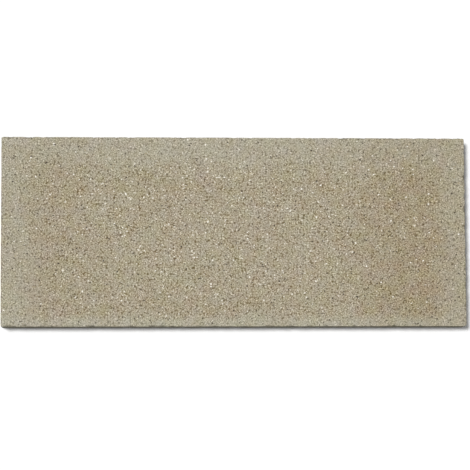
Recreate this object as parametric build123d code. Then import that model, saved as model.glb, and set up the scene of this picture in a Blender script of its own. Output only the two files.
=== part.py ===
from build123d import *
import os

# Vermiculite stove baffle: one pressed board that lies flat across the top of a firebox.
# X runs along the board, Y from the firebox mouth to its back, and Z is up.
# The origin is the middle of the underside, which rests on the firebox ledges.

# Driving dimensions, in millimetres
BOARD_LENGTH = 490.0  # along X, between the side linings
BOARD_DEPTH = 200.0  # along Y, from the smoke gap to the back lining
BOARD_THICKNESS = 25.0  # along Z, a stock thickness of pressed board
CORNER_RADIUS = 2.0  # upright corners, rubbed round in handling
ARRIS_RADIUS = 0.6  # edges of both broad faces, where the grain crumbles away


def pressed_board():
    """Return the board: its rounded outline at full thickness, with the edges of both faces eased."""
    with BuildPart() as board:
        with BuildSketch():
            RectangleRounded(BOARD_LENGTH, BOARD_DEPTH, CORNER_RADIUS)
        extrude(amount=BOARD_THICKNESS)
        broad_faces = board.faces().filter_by(Axis.Z)
        fillet(broad_faces.edges(), ARRIS_RADIUS)
    return board.part


os.makedirs("parts", exist_ok=True)
export_step(pressed_board(), "parts/baffle_board.step")
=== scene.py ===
"""Vermiculite stove baffle: one board of mica flakes pressed with a binder, lying on a white floor.

The board's skin is worked out as arrays on a box lattice: a slab with rounded corners and eased arrises,
sunk a little everywhere by grain, pits and crumbled edges. Loose plates of mica are set into that skin.
"""
import math

import bpy
import numpy as np
from bpy.props import FloatProperty, FloatVectorProperty, IntProperty, PointerProperty
from mathutils import Matrix, Vector


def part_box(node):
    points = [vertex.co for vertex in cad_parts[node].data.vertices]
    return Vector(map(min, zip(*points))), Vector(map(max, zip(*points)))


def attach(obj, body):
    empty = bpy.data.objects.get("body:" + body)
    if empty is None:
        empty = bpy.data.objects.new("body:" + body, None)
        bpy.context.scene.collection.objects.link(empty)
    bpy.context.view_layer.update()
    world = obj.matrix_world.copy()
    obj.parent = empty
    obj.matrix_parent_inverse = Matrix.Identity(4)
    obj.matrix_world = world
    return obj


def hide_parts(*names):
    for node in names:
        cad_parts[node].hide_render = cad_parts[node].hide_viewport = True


bl_info = {
    "name": "Vermiculite Stove Baffle",
    "version": (1, 0, 0),
    "blender": (4, 5, 0),
    "location": "View3D > Sidebar > Baffle",
    "description": "Dresses a pressed vermiculite board and lights it on a white floor",
    "category": "Object",
}

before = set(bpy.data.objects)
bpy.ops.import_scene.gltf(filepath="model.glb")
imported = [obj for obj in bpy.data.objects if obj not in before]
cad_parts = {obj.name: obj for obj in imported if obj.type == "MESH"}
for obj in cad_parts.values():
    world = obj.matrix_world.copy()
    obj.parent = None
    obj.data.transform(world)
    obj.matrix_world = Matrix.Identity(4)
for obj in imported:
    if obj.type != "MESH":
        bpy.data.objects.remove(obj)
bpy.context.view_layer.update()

MM = 0.001
BOARD_NODE = "baffle_board"
BOARD_BODY = "root"
BOARD_LOW, BOARD_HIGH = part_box(BOARD_NODE)
BOARD_SIZE = [high - low for low, high in zip(BOARD_LOW, BOARD_HIGH)]


def linear(hex_colour):
    """Turn an sRGB hex colour such as "A89E88" into linear red, green and blue."""
    channels = np.array([int(hex_colour[i:i + 2], 16) for i in (0, 2, 4)]) / 255
    return tuple(np.where(channels <= 0.04045, channels / 12.92, ((channels + 0.055) / 1.055) ** 2.4))


class BaffleBoardSettings(bpy.types.PropertyGroup):
    """Sizes and colours of the pressed board"""

    length: FloatProperty(
        name="Length", description="Along X, between the side linings",
        default=BOARD_SIZE[0], unit="LENGTH")
    width: FloatProperty(
        name="Width", description="Along Y, from the smoke gap to the back lining",
        default=BOARD_SIZE[1], unit="LENGTH")
    thickness: FloatProperty(
        name="Thickness", description="Along Z, a stock thickness of pressed board",
        default=BOARD_SIZE[2], unit="LENGTH")
    corner_radius: FloatProperty(
        name="Corner radius", description="Upright corners, rubbed round in handling",
        default=2.0 * MM, unit="LENGTH")
    arris_radius: FloatProperty(
        name="Arris radius", description="Edges of the two broad faces",
        default=0.6 * MM, unit="LENGTH")
    facet: FloatProperty(
        name="Facet", description="Spacing of the lattice that the skin is worked out on",
        default=1.66 * MM, unit="LENGTH")
    lump: FloatProperty(
        name="Lump", description="Width of the larger grains that raise the skin",
        default=3.0 * MM, unit="LENGTH")
    lump_relief: FloatProperty(
        name="Lump relief", description="Height between the top of a lump and the gap beside it",
        default=0.2 * MM, unit="LENGTH")
    pit_spacing: FloatProperty(
        name="Pit spacing", description="Average distance between places where a grain may be missing",
        default=7.0 * MM, unit="LENGTH")
    pit_depth: FloatProperty(
        name="Pit depth", description="Depth of the hole that a missing grain leaves",
        default=0.6 * MM, unit="LENGTH")
    crumble: FloatProperty(
        name="Crumble", description="Deepest bite out of an arris where grains broke away",
        default=1.4 * MM, unit="LENGTH")
    crumble_reach: FloatProperty(
        name="Crumble reach", description="How far down the sides the bites run out",
        default=3.0 * MM, unit="LENGTH")
    bed: FloatProperty(
        name="Bed", description="How far the broad faces lie below the plates that stand out of them",
        default=0.22 * MM, unit="LENGTH")
    grain: FloatProperty(
        name="Grain", description="Width of the flakes that speckle the surface",
        default=1.6 * MM, unit="LENGTH")
    middle_shade: FloatProperty(
        name="Middle shade", description="Where the average flake lies between dark and pale",
        default=0.484, min=0.0, max=1.0, subtype="FACTOR")
    # The dark end of the grain also carries the painted shade of the gaps, the pits and the sides.
    dark_grain: FloatVectorProperty(
        name="Dark grain", description="Flakes seen on edge and the gaps between them",
        default=linear("6A5B3A"), subtype="COLOR", min=0.0, max=1.0)
    pale_grain: FloatVectorProperty(
        name="Pale grain", description="Flakes that lie flat and the dried binder on them",
        default=linear("E2D9C2"), subtype="COLOR", min=0.0, max=1.0)
    dust: FloatVectorProperty(
        name="Dust", description="Grey binder dust rubbed along the borders",
        default=linear("C4CABE"), subtype="COLOR", min=0.0, max=1.0)
    toast: FloatVectorProperty(
        name="Toast", description="Tint of the binder where it browned near the ends as the board dried",
        default=linear("F2ECE4"), subtype="COLOR", min=0.0, max=1.0)


class BaffleMicaSettings(bpy.types.PropertyGroup):
    """Sizes and colours of the mica plates set in the skin"""

    spacing: FloatProperty(
        name="Spacing", description="Average distance between neighbouring plates",
        default=5.6 * MM, unit="LENGTH")
    radius: FloatProperty(
        name="Radius", description="Typical radius of a plate",
        default=0.66 * MM, unit="LENGTH")
    body: FloatProperty(
        name="Body", description="How deep a plate reaches into the board",
        default=0.6 * MM, unit="LENGTH")
    proud: FloatProperty(
        name="Proud", description="Most that a plate stands above the skin around it",
        default=0.22 * MM, unit="LENGTH")
    tilt: FloatProperty(
        name="Tilt", description="Steepest lean of a plate from the skin it lies in",
        default=math.radians(8.0), subtype="ANGLE")
    seed: IntProperty(
        name="Seed", description="Start of the random places and shapes", default=7)
    # Silvery mica, made near white partly as a painted glint
    pale_mica_and_painted_glint: FloatVectorProperty(
        name="Pale mica", description="Silvery plates that catch the light",
        default=linear("FBF7EC"), subtype="COLOR", min=0.0, max=1.0)
    golden_mica: FloatVectorProperty(
        name="Golden mica", description="Plates near the shade of the board",
        default=linear("B0A284"), subtype="COLOR", min=0.0, max=1.0)
    dark_mica: FloatVectorProperty(
        name="Dark mica", description="Unexpanded plates, dark olive brown",
        default=linear("2A1D0B"), subtype="COLOR", min=0.0, max=1.0)


class BaffleStudioSettings(bpy.types.PropertyGroup):
    """Light, floor and camera of the studio"""

    key_share: FloatProperty(
        name="Key share", description="Share of the light on the upper face that comes from the lamp",
        default=0.8, min=0.0, max=1.0, subtype="FACTOR")
    key_left: FloatProperty(
        name="Key to the left", description="How far the lamp leans to the left of overhead",
        default=math.radians(16.3), subtype="ANGLE")
    key_back: FloatProperty(
        name="Key to the back", description="How far the lamp leans behind overhead",
        default=math.radians(6.2), subtype="ANGLE")
    key_spread: FloatProperty(
        name="Key spread", description="Width of the lamp as the board sees it, which softens the shadow",
        default=math.radians(11.2), subtype="ANGLE")
    floor_glow: FloatProperty(
        name="Floor glow",
        description="What the camera sees of the floor beyond its own light, to keep it white",
        default=0.06)
    floor_bounce: FloatProperty(
        name="Floor bounce", description="Share of light that the floor throws back onto the board",
        default=0.2, min=0.0, max=1.0, subtype="FACTOR")
    floor_size: FloatProperty(
        name="Floor size", description="Side of the square floor", default=60.0, unit="LENGTH")
    lens: FloatProperty(
        name="Lens", description="Focal length in millimetres on a 36 mm wide sensor",
        default=171.42, unit="CAMERA")
    camera_place: FloatVectorProperty(
        name="Camera place", description="Camera from the middle of the upper face",
        default=(-146.4 * MM, -236.3 * MM, 2340.3 * MM), subtype="TRANSLATION", unit="LENGTH")
    camera_aim: FloatVectorProperty(
        name="Camera aim", description="Point on the upper face in the middle of the picture",
        default=(0.44 * MM, -3.57 * MM, 0.0), subtype="TRANSLATION", unit="LENGTH")
    camera_roll: FloatProperty(
        name="Camera roll", description="Turn of the camera about its line of sight",
        default=math.radians(-0.29), subtype="ANGLE")


# Random fields that the relief and the stains are made of
SCRAMBLE_FACTORS = (0x8DA6B343, 0xD8163841, 0xCB1AB31F)
SCRAMBLE_SHIFT = 15


def cell_random(cells, seed):
    """Give each whole-numbered cell one fixed number from 0 to 1, by scrambling its three numbers."""
    mixed = np.full(cells.shape[:-1], seed, np.uint32)
    for axis, factor in enumerate(SCRAMBLE_FACTORS):
        mixed = (mixed ^ cells[..., axis].astype(np.uint32)) * np.uint32(factor)
        mixed ^= mixed >> np.uint32(SCRAMBLE_SHIFT)
    return mixed / 2.0**32


def grain_field(points, size, seed):
    """Return the distance to the nearest grain's middle, in grain sizes, and that grain's own number.

    Space is cut into cells of the given size, and each holds one grain's middle at a random place, so
    the nearest middle is in the point's own cell or one of the 26 around it.
    """
    scaled = points / np.asarray(size)
    home = np.floor(scaled).astype(np.int64)
    nearest = np.full(len(points), np.inf)
    number = np.zeros(len(points))
    for offset in np.ndindex(3, 3, 3):
        cell = home + np.array(offset) - 1
        middle = cell + np.stack([cell_random(cell, seed + axis) for axis in range(3)], axis=-1)
        distance = np.linalg.norm(scaled - middle, axis=-1)
        closer = distance < nearest
        nearest = np.where(closer, distance, nearest)
        number = np.where(closer, cell_random(cell, seed + 3), number)
    return nearest, number


def drift_field(points, size, seed):
    """Return a slow random drift from 0 to 1: numbers at the cell corners, blended by an S-curve."""
    scaled = points / np.asarray(size)
    home = np.floor(scaled).astype(np.int64)
    part = scaled - home
    part = part * part * (3 - 2 * part)
    total = np.zeros(len(points))
    for corner in np.ndindex(2, 2, 2):
        weight = np.prod(np.where(np.array(corner) == 1, part, 1 - part), axis=-1)
        total += weight * cell_random(home + np.array(corner), seed)
    return total


def ramp(value, start, end):
    """Rise from 0 to 1 along an S-curve while value goes from start to end."""
    part = np.clip((value - start) / (end - start), 0.0, 1.0)
    return part * part * (3 - 2 * part)


def bell(value, middle, reach):
    """Fall from 1 at the middle along a bell curve, to about a third at the reach on either side."""
    return np.exp(-((value - middle) / reach) ** 2)


# The board's skin
ARRIS_ROWS = 3  # rows of faces on each side of an arris
BAKE_MAP = "OFBake"  # the layout that a bake of the materials keeps
BAKE_MARGIN = 2.0 * MM
SIDE_PAIRS = ((2, 0, 1), (1, 0, 2), (0, 1, 2))  # the axis that a pair of sides faces, and the two along it


def half_size(board):
    """Return half the board's length, width and thickness."""
    return np.array([board.length, board.width, board.thickness]) / 2


def lattice_lines(half, arris, facet):
    """Place lattice lines from -half to half: even ones between the arrises, and closer ones on them."""
    flat = half - arris
    even = np.linspace(-flat, flat, round(2 * flat / facet) + 1)
    rolled = np.linspace(flat, half, ARRIS_ROWS + 1)[1:]
    return np.concatenate([-rolled[::-1], even, rolled])


def squares(grid):
    """List the four corners of every square of a grid, turning from its first direction to its second."""
    return np.stack([grid[:-1, :-1], grid[1:, :-1], grid[1:, 1:], grid[:-1, 1:]], axis=-1).reshape(-1, 4)


def side_sheets(number, lines):
    """Unroll the six sides of the lattice onto one square sheet.

    The broad faces and the long edges are stacked, and the two ends share the last row. Yields each side's
    grid of point numbers, and the grids of its places across and up the sheet. Where the two lattice
    directions turn the wrong way round the outward one, the side is read downwards.
    """
    spans = [line[-1] - line[0] for line in lines]
    low = BAKE_MARGIN
    for facing, across, rise in SIDE_PAIRS:
        left = BAKE_MARGIN
        for downwards in (False, True):
            end = -1 if downwards == (facing == 1) else 0
            sheet = np.take(number, end, axis=facing)
            heights = lines[rise]
            if downwards:
                sheet = sheet[:, ::-1]
                heights = -heights[::-1]
            over, up = np.meshgrid(
                lines[across] + left + spans[across] / 2, heights + low + spans[rise] / 2, indexing="ij")
            yield sheet, over, up
            if facing == 0:
                left += spans[across] + BAKE_MARGIN
            else:
                low += spans[rise] + BAKE_MARGIN


def slab_points(lattice, half, corner, arris):
    """Carry the points of a box lattice onto a slab with rounded corners and eased arrises.

    In plan a point keeps its place, but the small square at each corner is drawn onto a quarter disc:
    the larger of the point's two offsets becomes its distance from the disc's middle. Then every point
    nearer to an edge of its face than the arris radius is rolled round the arris, where the broad face
    takes the first eighth of a turn and the side the second. Returns the points, their outward
    directions and their distances from the nearest arris.
    """
    plan = np.abs(lattice[:, :2])
    turn = np.sign(lattice[:, :2])
    disc_middle = half[:2] - corner
    past = np.maximum(plan - disc_middle, 0.0)
    in_corner = (past > 0).all(axis=1, keepdims=True)
    reach = past.max(axis=1, keepdims=True)
    length = np.linalg.norm(past, axis=1, keepdims=True)
    nearer_end = half[0] - plan[:, :1] < half[1] - plan[:, 1:]
    straight = np.concatenate([nearer_end, ~nearer_end], axis=1).astype(float)
    outward = np.where(in_corner, past / np.where(in_corner, length, 1.0), straight)
    rim = np.where(in_corner, disc_middle + corner * outward, np.where(straight > 0, half[:2], plan))
    inside = np.where(in_corner, disc_middle + reach * outward, plan)

    below = half[2] - np.abs(lattice[:, 2])
    on_face = below <= 0
    to_edge = (half[:2] - plan).min(axis=1)
    eighth = math.pi / 4
    roll = np.where(
        on_face,
        eighth * np.clip(1 - to_edge / arris, 0, 1),
        2 * eighth - eighth * np.clip(1 - below / arris, 0, 1))
    rolled = (~on_face | (to_edge < arris))[:, None]
    inset = (arris * (1 - np.sin(roll)))[:, None]
    flat = np.where(rolled, rim - outward * inset, inside)
    drop = np.where(on_face | (below < arris), arris * (1 - np.cos(roll)), below)
    up = np.sign(lattice[:, 2])
    points = np.column_stack([flat * turn, up * (half[2] - drop)])
    ways = np.column_stack([outward * turn * np.sin(roll)[:, None], up * np.cos(roll)])
    return points, ways, np.where(on_face, to_edge, below)


# Relief of the skin
FLATTENED = np.array([1.0, 1.0, 0.5])  # lumps and pits are half as thick as they are wide
LUMP_SEED = 11
LUMP_STEP = 0.3  # share of the relief by which whole lumps differ in height
PIT_SEED = 23
PIT_CHANCE = 0.45
PIT_RADIUS = 0.55  # in lumps
BITE_SEED = 37
BITE_WIDTH = 1.2  # in lumps
BITE_FROM = 0.55  # a lump whose own number is lower stays whole
BITE_SHORTENED = 0.65  # how much less far the bites run over a broad face than down a side


def sunk_depth(points, upright, from_arris, board):
    """Work out how far the skin lies below its full size, and how much of that is a pit.

    Lumps fall away by the square of the distance from their middles, each from its own height. Some
    cells of a wider spacing hold a pit, a bowl about as wide as a lump. Close to an arris, whole lumps
    break away: the share of the crumble that each loses comes from its own number. The bites run further
    down the sides than over the broad faces, whose outward direction is upright.
    """
    distance, height = grain_field(points, board.lump * FLATTENED, LUMP_SEED)
    fall = np.clip(distance, 0, 1) ** 2
    lumps = board.lump_relief * (LUMP_STEP * height + (1 - LUMP_STEP) * fall)
    distance, chance = grain_field(points, board.pit_spacing * FLATTENED, PIT_SEED)
    bowl = np.clip(1 - (distance * board.pit_spacing / (PIT_RADIUS * board.lump)) ** 2, 0, 1)
    pits = board.pit_depth * bowl * (chance < PIT_CHANCE)
    _, loss = grain_field(points, board.lump * BITE_WIDTH, BITE_SEED)
    lost = np.clip((loss - BITE_FROM) / (1 - BITE_FROM), 0, 1) ** 2
    reach = board.crumble_reach * (1 - BITE_SHORTENED * upright ** 2)
    bites = board.crumble * lost * bell(from_arris, 0, reach)
    return lumps + pits + bites, pits


# Stains on the broad faces
WIDE_WANDER, WIDE_SEED = 22 * MM, 51
FINE_WANDER, FINE_SEED = 9 * MM, 53
FINE_SHARE = 0.5
LEFT_BORDER = 48 * MM
LEFT_TAPER = 18 * MM  # how much narrower the left border is at the back, and wider at the front
RIGHT_BORDER = 35 * MM
FRONT_BORDER = 14 * MM
BACK_BORDER = 42 * MM
BORDER_WANDER = 0.3
DUST_FADE = (0.3, 1.1)  # where the dust starts to thin and where it ends, in border widths
DUST_THICKNESS = 0.6
# painted shade: the pale dust thins towards the right, where the lamp's light falls off
PAINTED_SHADE_TO_RIGHT = 0.035
DUST_TO_LONG_EDGES = 0.1
FRONT_LINE = 0.25  # the thicker dust close to the front edge
FRONT_LINE_FADE = (0.8, 1.0)  # where that starts and where it is full, in half widths
LEFT_BROWN, LEFT_BAND = 0.4, (-200 * MM, 50 * MM)  # strength of a band, then its middle and its reach
RIGHT_BROWN, RIGHT_BAND = 0.9, (198 * MM, 66 * MM)
RIGHT_TO_FRONT = 0.1
FRONT_BROWN, FRONT_BAND = 0.22, (-77 * MM, 18 * MM)
BACK_BROWN, BACK_BAND = 0.15, (52 * MM, 20 * MM)
BROWN_WANDER = 0.2


def stains(points, half):
    """Work out where grey dust and browned binder lie, each from 0 to 1.

    A border runs round each broad face, with its own width on each side and a wandering inner edge. Dust
    lies along the outline, thickest at the front, and thins to nothing further in. The brown lies in a
    band across each end, of which the right one is broader and stronger, and in a faint one inside the
    dust of the front and of the back. Each band is a bell curve.
    """
    x, y = points[:, 0], points[:, 1]
    along, over = x / half[0], y / half[1]
    wander = drift_field(points, WIDE_WANDER, WIDE_SEED) - 0.5
    wander += FINE_SHARE * (drift_field(points, FINE_WANDER, FINE_SEED) - 0.5)
    from_sides = np.stack([
        (half[0] + x) / (LEFT_BORDER - LEFT_TAPER * over), (half[0] - x) / RIGHT_BORDER,
        (half[1] + y) / FRONT_BORDER, (half[1] - y) / BACK_BORDER])
    inward = from_sides.min(axis=0) * (1 + BORDER_WANDER * wander)
    # The dust thins towards the right as painted shade, where the lamp's light falls off.
    thick = DUST_THICKNESS - PAINTED_SHADE_TO_RIGHT * along + DUST_TO_LONG_EDGES * over ** 2
    thick += FRONT_LINE * ramp(-over, *FRONT_LINE_FADE)
    dust = (1 - ramp(inward, *DUST_FADE)) * thick
    ends = LEFT_BROWN * bell(x, *LEFT_BAND) + (RIGHT_BROWN - RIGHT_TO_FRONT * over) * bell(x, *RIGHT_BAND)
    long_edges = FRONT_BROWN * bell(y, *FRONT_BAND) + BACK_BROWN * bell(y, *BACK_BAND)
    toast = np.maximum(ends, long_edges) + BROWN_WANDER * wander
    return np.clip(dust, 0, 1), np.clip(toast, 0, 1)


def board_skin(board):
    """Return the skin's points, faces, places on the bake sheet, and the shares that its material reads.

    A lattice of lines along X, Y and Z marks the six sides of a box, whose shared edges use the same
    points. The points go onto the slab and then sink along their outward directions.
    """
    half = half_size(board)
    lines = [lattice_lines(h, board.arris_radius, board.facet) for h in half]
    counts = [len(line) for line in lines]
    marks = np.indices(counts)
    last = np.array(counts).reshape(3, 1, 1, 1) - 1
    on_skin = ((marks == 0) | (marks == last)).any(axis=0)
    number = np.full(counts, -1)
    number[on_skin] = np.arange(on_skin.sum())
    lattice = np.column_stack([lines[axis][marks[axis][on_skin]] for axis in range(3)])

    points, ways, from_arris = slab_points(lattice, half, board.corner_radius, board.arris_radius)
    sunk, hole = sunk_depth(points, ways[:, 2], from_arris, board)
    dust, toast = stains(points, half)
    points = points - ways * sunk[:, None]
    points[:, 2] += half[2] - board.bed * ways[:, 2]

    faces = []
    places = []
    for sheet, over, up in side_sheets(number, lines):
        faces.append(squares(sheet))
        places.append(np.stack([squares(over), squares(up)], axis=-1))
    places = np.concatenate(places) / (board.length + 2 * BAKE_MARGIN)
    # The material paints shade into the holes by the pit share.
    shares = {
        "dust": dust, "toast": toast, "pit": np.clip(hole / board.pit_depth, 0, 1),
        # darker sides, partly flakes seen on edge and partly painted shade
        "on_edge_and_painted_side_shade": (ways[:, :2] ** 2).sum(axis=1)}
    return points, np.concatenate(faces), places, shares


# Plates of mica
PLATE_CORNERS = 5
PLATE_POINTS = 2 * PLATE_CORNERS + 2  # two rings of corners and their two middles
CORNER_STRAY = 0.3  # of the turn from one corner to the next
CORNER_REACH = (0.7, 1.25)  # in radii of the plate
PLATE_WIDTH = (0.55, 1.0)  # in lengths of the plate
PLATE_STANDS = (0.5, 1.0)  # of the most that a plate stands proud
ROOT_WIDTH = 0.8  # of the outline, at the bottom of a plate
SIZE_SPREAD = 0.36
LARGEST_PLATE = 1.65  # in typical radii
PALE_SHARE = 0.6
PALE_ANYWHERE = 0.35  # share of the pale plates that lie all along the board
PALE_GATHERS = (-0.2, 0.55)  # middle and reach of the other ones, in half lengths
PALE_TO_BACK = 0.4
DUST_HIDES = 1.1
DARK_SHARE = 0.4
PALE_SHADES = (0.8, 1.0)
GOLDEN_SHADES = (0.35, 0.65)
DARK_SHADES = (0.0, 0.08)


def plate_seats(board, mica, rng):
    """Scatter seats for the plates over all six sides, as many as the spacing gives.

    Returns the middles on the full-size faces and, for each, two directions in the face and the outward one.
    """
    half = half_size(board)
    axes = np.eye(3)
    middles = []
    frames = []
    for facing, across, rise in SIDE_PAIRS:
        for end in (-1, 1):
            count = round(4 * half[across] * half[rise] / mica.spacing ** 2)
            room = half - board.arris_radius - mica.radius
            middle = rng.uniform(-1, 1, (count, 3)) * room
            middle[:, facing] = end * half[facing]
            outward = end * axes[facing]
            middles.append(middle)
            frames.append(np.tile([axes[across], np.cross(outward, axes[across]), outward], (count, 1, 1)))
    return np.concatenate(middles), np.concatenate(frames)


def plate_outlines(mica, count, rng):
    """Return the corners of every plate, as their places along and across the plate's own face.

    The corners lie at nearly even turns round the middle, at radii that vary from corner to corner, and
    the outline is then narrowed across.
    """
    stray = rng.uniform(-CORNER_STRAY, CORNER_STRAY, (count, PLATE_CORNERS))
    turns = (np.arange(PLATE_CORNERS) + stray) / PLATE_CORNERS
    turns = 2 * math.pi * (turns + rng.random((count, 1)))
    size = np.minimum(rng.lognormal(0.0, SIZE_SPREAD, (count, 1)), LARGEST_PLATE)
    radii = mica.radius * size * rng.uniform(*CORNER_REACH, turns.shape)
    return radii * np.cos(turns), radii * np.sin(turns) * rng.uniform(*PLATE_WIDTH, (count, 1))


def plate_faces(count):
    """List the faces of all plates: a fan over each of the two rings, and squares between the rings."""
    here = np.arange(PLATE_CORNERS)
    after = np.roll(here, -1)
    top_middle, low_middle = 2 * PLATE_CORNERS, 2 * PLATE_CORNERS + 1
    fans = np.concatenate([
        np.column_stack([here, after, np.full(PLATE_CORNERS, top_middle)]),
        np.column_stack([after + PLATE_CORNERS, here + PLATE_CORNERS, np.full(PLATE_CORNERS, low_middle)])])
    rims = np.column_stack([here + PLATE_CORNERS, after + PLATE_CORNERS, after, here])
    starts = (np.arange(count) * PLATE_POINTS)[:, None, None]
    return (fans + starts).reshape(-1, 3).tolist() + (rims + starts).reshape(-1, 4).tolist()


def plate_shades(middles, half, rng):
    """Give every plate a shade, from 0 for dark through gold to 1 for silver, whose near-white colour is
    partly painted glint.

    Pale plates keep off the dusty borders and gather left of the middle and towards the back.
    """
    count = len(middles)
    pick = rng.random(count)
    dust, _ = stains(middles, half)
    along, over = middles[:, 0] / half[0], middles[:, 1] / half[1]
    gathered = PALE_ANYWHERE + (1 - PALE_ANYWHERE) * bell(along, *PALE_GATHERS)
    pale_share = PALE_SHARE * (1 - DUST_HIDES * dust) * gathered * (1 + PALE_TO_BACK * over)
    shade = rng.uniform(*GOLDEN_SHADES, count)
    shade = np.where(pick < pale_share, rng.uniform(*PALE_SHADES, count), shade)
    return np.where(pick > 1 - DARK_SHARE, rng.uniform(*DARK_SHADES, count), shade)


def mica_plates(board, mica):
    """Return the points, faces and shades of thin plates set into the skin.

    A plate leans a little and stands a little proud of the sunk skin at its middle, and no corner passes
    the board's full size. The lower ring repeats the outline, drawn in and sunk into the board, and both
    rings close on a middle point.
    """
    rng = np.random.default_rng(mica.seed)
    middles, frames = plate_seats(board, mica, rng)
    count = len(middles)
    upright = frames[:, 2, 2]
    along, across = plate_outlines(mica, count, rng)
    lean = math.tan(mica.tilt) * rng.uniform(-1, 1, (count, 2))
    height = along * lean[:, :1] + across * lean[:, 1:]
    sunk, _ = sunk_depth(middles, upright, np.full(count, board.facet), board)
    sunk += board.bed * np.abs(upright)
    height += mica.proud * rng.uniform(*PLATE_STANDS, (count, 1)) - sunk[:, None]
    height -= np.maximum(height.max(axis=1, keepdims=True), 0)

    upper = np.stack([along, across, height], axis=-1)
    lower = np.stack([ROOT_WIDTH * along, ROOT_WIDTH * across, height - mica.body], axis=-1)
    rings = [upper, lower, upper.mean(axis=1, keepdims=True), lower.mean(axis=1, keepdims=True)]
    points = middles[:, None] + np.einsum("pcl,plk->pck", np.concatenate(rings, axis=1), frames)
    points[..., 2] += board.thickness / 2
    shade = plate_shades(middles, half_size(board), rng)
    return points.reshape(-1, 3), plate_faces(count), {"shade": np.repeat(shade, PLATE_POINTS)}


def mesh_piece(name, points, faces, shares, material):
    """Make an object from arrays of points and faces, with its shares as point attributes."""
    mesh = bpy.data.meshes.new(name)
    mesh.from_pydata(points, [], faces)
    for share, values in shares.items():
        mesh.attributes.new(share, "FLOAT", "POINT").data.foreach_set("value", values.astype(np.float32))
    mesh.materials.append(material)
    piece = bpy.data.objects.new(name, mesh)
    bpy.context.scene.collection.objects.link(piece)
    return piece


# Materials
MIX_FACTOR, MIX_A, MIX_B, MIX_RESULT = 0, 6, 7, 2  # the colour sockets of a Mix node


def add_node(tree, kind, inputs=None, **settings):
    """Add a node of one kind with its settings, and set or link each of its named or numbered inputs."""
    made = tree.nodes.new(kind)
    for name, value in settings.items():
        setattr(made, name, value)
    for name, value in (inputs or {}).items():
        if isinstance(value, bpy.types.NodeSocket):
            tree.links.new(value, made.inputs[name])
        else:
            made.inputs[name].default_value = value
    return made


def new_material(name):
    """Start an empty node material and return it with its tree."""
    material = bpy.data.materials.new(name)
    material.use_nodes = True
    material.node_tree.nodes.clear()
    return material, material.node_tree


# Pressed vermiculite
FLAKE_FLATNESS = 2  # width of a flake, in its thicknesses
GRIT_FINENESS = 2.3  # width of a flake, in grits
CLUMP_SIZE = 13 * MM
DRIFT_SIZE = 16 * MM
THIRDS = (1 / 3, 1 / 3, 1 / 3)  # weights that average the three channels of a colour
DUST_COVER = 0.24  # share of the grain's colour that the thickest dust hides
EVEN_HUE = 0.5  # what a hue node leaves as it is
HUE_DRIFT = 0.052
EVEN_SATURATION = 1.0
SATURATION_DRIFT = 0.6
GRIT_FALL = 0.25  # fall of a grit from its middle, against the rise of a flake
SPECKLE_DEPTH = 0.5 * MM


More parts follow.
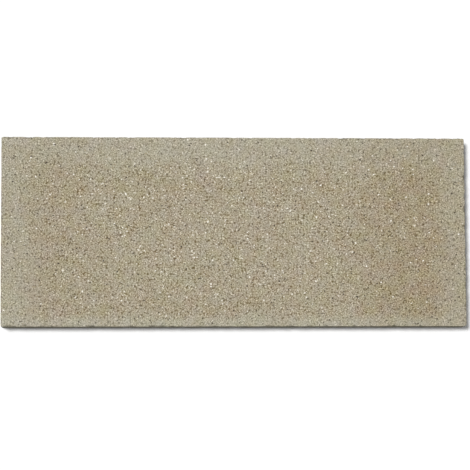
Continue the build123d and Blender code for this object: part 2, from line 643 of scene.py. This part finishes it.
def pressed_vermiculite(board):
    """Vermiculite flakes pressed with a silicate binder.

    Every flake lies at its own angle and takes its own tone, with painted light and shade across it from its
    tilt and painted shade in the gaps between. The pits are painted darker, and the sides are darker, partly
    as flakes seen on edge and partly as painted shade. So the eye sees a fine matte speckle, greyer with dust
    along the borders and browner inside them.
    """
    material, tree = new_material("pressed_vermiculite")
    place = add_node(tree, "ShaderNodeTexCoord").outputs["Object"]
    per_grain = 1 / board.grain
    flakes = add_node(tree, "ShaderNodeMapping", {
        "Vector": place, "Scale": (per_grain, per_grain, FLAKE_FLATNESS * per_grain)}).outputs[0]
    cells = add_node(tree, "ShaderNodeTexVoronoi", {"Vector": flakes, "Scale": 1.0})
    grit = add_node(tree, "ShaderNodeTexVoronoi", {"Vector": flakes, "Scale": GRIT_FINENESS})
    clumps, drifts = (
        add_node(tree, "ShaderNodeTexNoise", {
            "Vector": place, "Scale": 1 / size, "Detail": 1.0}).outputs["Fac"]
        for size in (CLUMP_SIZE, DRIFT_SIZE))
    dust, toast, pit, on_edge_and_painted_side_shade = (
        add_node(tree, "ShaderNodeAttribute", attribute_name=share).outputs["Fac"]
        for share in ("dust", "toast", "pit", "on_edge_and_painted_side_shade"))
    cell_shade, grit_shade = (
        add_node(tree, "ShaderNodeVectorMath", {
            0: flake.outputs["Color"], 1: THIRDS}, operation="DOT_PRODUCT").outputs["Value"]
        for flake in (cells, grit))

    # A flake is a small tilted plane. Its random colour gives the tilt, which gives the rise at each point.
    # The rising side is painted lighter and the sinking side painted darker, by the rise and its square:
    # painted light and shade, not the flake's own colour.
    from_middle = add_node(tree, "ShaderNodeVectorMath", {
        0: flakes, 1: cells.outputs["Position"]}, operation="SUBTRACT")
    lean = add_node(tree, "ShaderNodeVectorMath", {
        0: cells.outputs["Color"], 1: (1, 1, 0), 2: (-0.5, -0.5, 0)}, operation="MULTIPLY_ADD")
    rise = add_node(tree, "ShaderNodeVectorMath", {
        0: from_middle.outputs[0], 1: lean.outputs[0]}, operation="DOT_PRODUCT").outputs["Value"]
    lit = add_node(tree, "ShaderNodeMath", {
        0: rise, 1: rise, 2: rise}, operation="MULTIPLY_ADD").outputs[0]

    # What shades the grain, its tone together with painted light and shade: each source, its average, and how
    # much it adds
    parts = (
        (lit, 0.02, 2.06),  # painted light and shade from the tilt of a flake
        (cell_shade, 0.5, 0.1),  # a flake's own shade
        (grit_shade, 0.5, 0.3),  # the finer grit on it
        (cells.outputs["Distance"], 0.5, -0.1),  # painted shade in the gap round it
        (clumps, 0.5, -0.08),  # the clump that it lies in
        (pit, 0.0, -0.2),  # painted shade in a hole that a grain has left
        (on_edge_and_painted_side_shade, 0.0, -0.15),  # the sides, darker partly as flakes seen on edge and partly as painted shade
    )
    # The shade below mixes the flakes' own tone with painted light and shade.
    shade = board.middle_shade - sum(average * share for _, average, share in parts)
    for source, _, share in parts:
        shade = add_node(tree, "ShaderNodeMath", {
            0: source, 1: share, 2: shade}, operation="MULTIPLY_ADD").outputs[0]
    colour = add_node(tree, "ShaderNodeMix", {
        MIX_FACTOR: shade, MIX_A: (*board.dark_grain, 1), MIX_B: (*board.pale_grain, 1)}, data_type="RGBA")
    cover = add_node(tree, "ShaderNodeMath", {0: dust, 1: DUST_COVER}, operation="MULTIPLY").outputs[0]
    for share, stain, blend in ((toast, board.toast, "MULTIPLY"), (cover, board.dust, "MIX")):
        colour = add_node(tree, "ShaderNodeMix", {
            MIX_FACTOR: share, MIX_A: colour.outputs[MIX_RESULT], MIX_B: (*stain, 1)},
            data_type="RGBA", blend_type=blend)

    hue = add_node(tree, "ShaderNodeMath", {
        0: drifts, 1: HUE_DRIFT, 2: EVEN_HUE - HUE_DRIFT / 2}, operation="MULTIPLY_ADD")
    saturation = add_node(tree, "ShaderNodeMath", {
        0: clumps, 1: SATURATION_DRIFT, 2: EVEN_SATURATION - SATURATION_DRIFT / 2}, operation="MULTIPLY_ADD")
    colour = add_node(tree, "ShaderNodeHueSaturation", {
        "Hue": hue.outputs[0], "Saturation": saturation.outputs[0], "Color": colour.outputs[MIX_RESULT]})
    height = add_node(tree, "ShaderNodeMath", {
        0: grit.outputs["Distance"], 1: -GRIT_FALL, 2: rise}, operation="MULTIPLY_ADD")
    bump = add_node(tree, "ShaderNodeBump", {
        "Height": height.outputs[0], "Distance": SPECKLE_DEPTH, "Strength": 1.0})
    skin = add_node(tree, "ShaderNodeBsdfPrincipled", {
        "Base Color": colour.outputs[0], "Roughness": 0.9, "Specular IOR Level": 0.3,
        "Normal": bump.outputs[0]})
    add_node(tree, "ShaderNodeOutputMaterial", {"Surface": skin.outputs[0]})
    return material


def expanded_mica(mica):
    """Plates of expanded mica: smooth cleaved sheets with a soft pearly gloss, silver, gold or dark brown.

    The lower half of the shades runs from dark to gold, and the upper half from gold to silver, whose
    near-white colour is partly real silvery mica and partly painted glint.
    """
    material, tree = new_material("expanded_mica")
    shade = add_node(tree, "ShaderNodeAttribute", attribute_name="shade").outputs["Fac"]
    to_gold = add_node(tree, "ShaderNodeMath", {
        0: shade, 1: 2.0}, operation="MULTIPLY", use_clamp=True).outputs[0]
    to_silver_and_painted_glint = add_node(tree, "ShaderNodeMath", {
        0: shade, 1: 2.0, 2: -1.0}, operation="MULTIPLY_ADD", use_clamp=True).outputs[0]
    colour = (*mica.dark_mica, 1)
    for share, next_colour in ((to_gold, mica.golden_mica), (to_silver_and_painted_glint, mica.pale_mica_and_painted_glint)):
        colour = add_node(tree, "ShaderNodeMix", {
            MIX_FACTOR: share, MIX_A: colour, MIX_B: (*next_colour, 1)},
            data_type="RGBA").outputs[MIX_RESULT]
    plate = add_node(tree, "ShaderNodeBsdfPrincipled", {
        "Base Color": colour, "Roughness": 0.5, "Specular IOR Level": 0.25})
    add_node(tree, "ShaderNodeOutputMaterial", {"Surface": plate.outputs[0]})
    return material


def seen_directly(tree):
    """Return a socket that is 1 for what the camera, a reflection or glass shows, and 0 for bounced light."""
    path = add_node(tree, "ShaderNodeLightPath")
    seen = path.outputs["Is Camera Ray"]
    for ray in ("Is Glossy Ray", "Is Transmission Ray"):
        seen = add_node(tree, "ShaderNodeMath", {
            0: seen, 1: path.outputs[ray]}, operation="MAXIMUM").outputs[0]
    return seen


def white_floor(studio):
    """White paper sweep: the camera sees it just past white, so only the board's shadow shows on it."""
    material, tree = new_material("white_paper")
    seen = seen_directly(tree)
    bounced = add_node(tree, "ShaderNodeBsdfDiffuse", {"Color": (*[studio.floor_bounce] * 3, 1)})
    paper = add_node(tree, "ShaderNodeBsdfDiffuse", {"Color": (1, 1, 1, 1)})
    glow = add_node(tree, "ShaderNodeEmission", {"Color": (1, 1, 1, 1), "Strength": studio.floor_glow})
    lit = add_node(tree, "ShaderNodeAddShader", {0: paper.outputs[0], 1: glow.outputs[0]})
    both = add_node(tree, "ShaderNodeMixShader", {0: seen, 1: bounced.outputs[0], 2: lit.outputs[0]})
    add_node(tree, "ShaderNodeOutputMaterial", {"Surface": both.outputs[0]})
    return material


# Operators, one for each piece and one for the stage
LAMP_DISTANCE = 2.0  # metres, and of no weight for a lamp of parallel light


class BAFFLE_OT_pressed_board(bpy.types.Operator):
    """Press the vermiculite board: one skin of lumps, pits and crumbled edges at the full size"""

    bl_idname = "baffle.pressed_board"
    bl_label = "Pressed board"

    def execute(self, context):
        board = context.scene.baffle_board
        points, faces, places, shares = board_skin(board)
        piece = mesh_piece("vermiculite_board", points, faces, shares, pressed_vermiculite(board))
        piece.data.uv_layers.new(name=BAKE_MAP).data.foreach_set("uv", places.astype(np.float32).ravel())
        piece.data.shade_smooth()
        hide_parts(BOARD_NODE)
        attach(piece, BOARD_BODY)
        return {"FINISHED"}


class BAFFLE_OT_mica_plates(bpy.types.Operator):
    """Set loose plates of mica into the board's skin"""

    bl_idname = "baffle.mica_plates"
    bl_label = "Mica plates"

    def execute(self, context):
        mica = context.scene.baffle_mica
        points, faces, shares = mica_plates(context.scene.baffle_board, mica)
        piece = mesh_piece("mica_plates", points, faces, shares, expanded_mica(mica))
        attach(piece, BOARD_BODY)
        return {"FINISHED"}


class BAFFLE_OT_studio(bpy.types.Operator):
    """Lay the white floor, light the board from above and set the camera over it"""

    bl_idname = "baffle.studio"
    bl_label = "Studio"

    def execute(self, context):
        studio = context.scene.baffle_studio
        self.lay_floor(studio)
        self.hang_lamp(studio)
        self.fill_room(studio)
        self.set_camera(studio)
        context.scene.view_settings.view_transform = "Standard"
        return {"FINISHED"}

    def lay_floor(self, studio):
        """Lay one square of floor, level with the underside of the board."""
        reach = studio.floor_size / 2
        corners = [(-reach, -reach, 0), (reach, -reach, 0), (reach, reach, 0), (-reach, reach, 0)]
        mesh_piece("floor", corners, [(0, 1, 2, 3)], {}, white_floor(studio))

    def hang_lamp(self, studio):
        """Hang a broad lamp overhead, as strong as the upper face needs beside the even fill."""
        toward = Vector((-math.tan(studio.key_left), math.tan(studio.key_back), 1)).normalized()
        lamp = bpy.data.lights.new("overhead_key", "SUN")
        lamp.energy = math.pi * studio.key_share / toward.z
        lamp.angle = studio.key_spread
        hung = bpy.data.objects.new("overhead_key", lamp)
        hung.rotation_euler = toward.to_track_quat("Z", "Y").to_euler()
        hung.location = toward * LAMP_DISTANCE
        bpy.context.scene.collection.objects.link(hung)

    def fill_room(self, studio):
        """Fill the room with even light, and show white where the camera looks past the floor."""
        room = bpy.data.worlds.new("white_room")
        room.use_nodes = True
        tree = room.node_tree
        tree.nodes.clear()
        fill = add_node(tree, "ShaderNodeBackground", {
            "Color": (1, 1, 1, 1), "Strength": 1 - studio.key_share})
        white = add_node(tree, "ShaderNodeBackground", {"Color": (1, 1, 1, 1), "Strength": 1.0})
        both = add_node(tree, "ShaderNodeMixShader", {
            0: seen_directly(tree), 1: fill.outputs[0], 2: white.outputs[0]})
        add_node(tree, "ShaderNodeOutputWorld", {"Surface": both.outputs[0]})
        bpy.context.scene.world = room

    def set_camera(self, studio):
        """Set the camera over the board, its top edge towards the back."""
        top = Vector((0, 0, BOARD_HIGH[2]))
        place = top + Vector(studio.camera_place)
        back = (Vector(studio.camera_place) - Vector(studio.camera_aim)).normalized()
        right = Vector((0, 1, 0)).cross(back).normalized()
        up = back.cross(right)
        turned = Matrix((right, up, back)).transposed().to_4x4() @ Matrix.Rotation(studio.camera_roll, 4, "Z")
        lens = bpy.data.cameras.new("overhead_camera")
        lens.lens = studio.lens
        camera = bpy.data.objects.new("overhead_camera", lens)
        camera.matrix_world = Matrix.Translation(place) @ turned
        bpy.context.scene.collection.objects.link(camera)
        bpy.context.scene.camera = camera


class BAFFLE_PT_sidebar(bpy.types.Panel):
    """Sizes and colours of the baffle, with a button for each step"""

    bl_idname = "BAFFLE_PT_sidebar"
    bl_label = "Vermiculite baffle"
    bl_space_type = "VIEW_3D"
    bl_region_type = "UI"
    bl_category = "Baffle"

    def draw(self, context):
        for step, group in STEPS:
            box = self.layout.box()
            box.operator(step.bl_idname)
            settings = getattr(context.scene, group)
            for name in settings.__annotations__:
                box.prop(settings, name)


STEPS = (
    (BAFFLE_OT_pressed_board, "baffle_board"),
    (BAFFLE_OT_mica_plates, "baffle_mica"),
    (BAFFLE_OT_studio, "baffle_studio"),
)
SETTINGS = {
    "baffle_board": BaffleBoardSettings,
    "baffle_mica": BaffleMicaSettings,
    "baffle_studio": BaffleStudioSettings,
}
CLASSES = (*SETTINGS.values(), *(step for step, _ in STEPS), BAFFLE_PT_sidebar)


def register():
    """Register the classes and hang the settings on the scene."""
    for cls in CLASSES:
        bpy.utils.register_class(cls)
    for name, group in SETTINGS.items():
        setattr(bpy.types.Scene, name, PointerProperty(type=group))


def unregister():
    """Take the settings off the scene and unregister the classes."""
    for name in SETTINGS:
        delattr(bpy.types.Scene, name)
    for cls in reversed(CLASSES):
        bpy.utils.unregister_class(cls)


def main():
    """Build the baffle and its studio."""
    register()
    bpy.ops.baffle.pressed_board()
    bpy.ops.baffle.mica_plates()
    bpy.ops.baffle.studio()


if __name__ == "__main__":
    main()
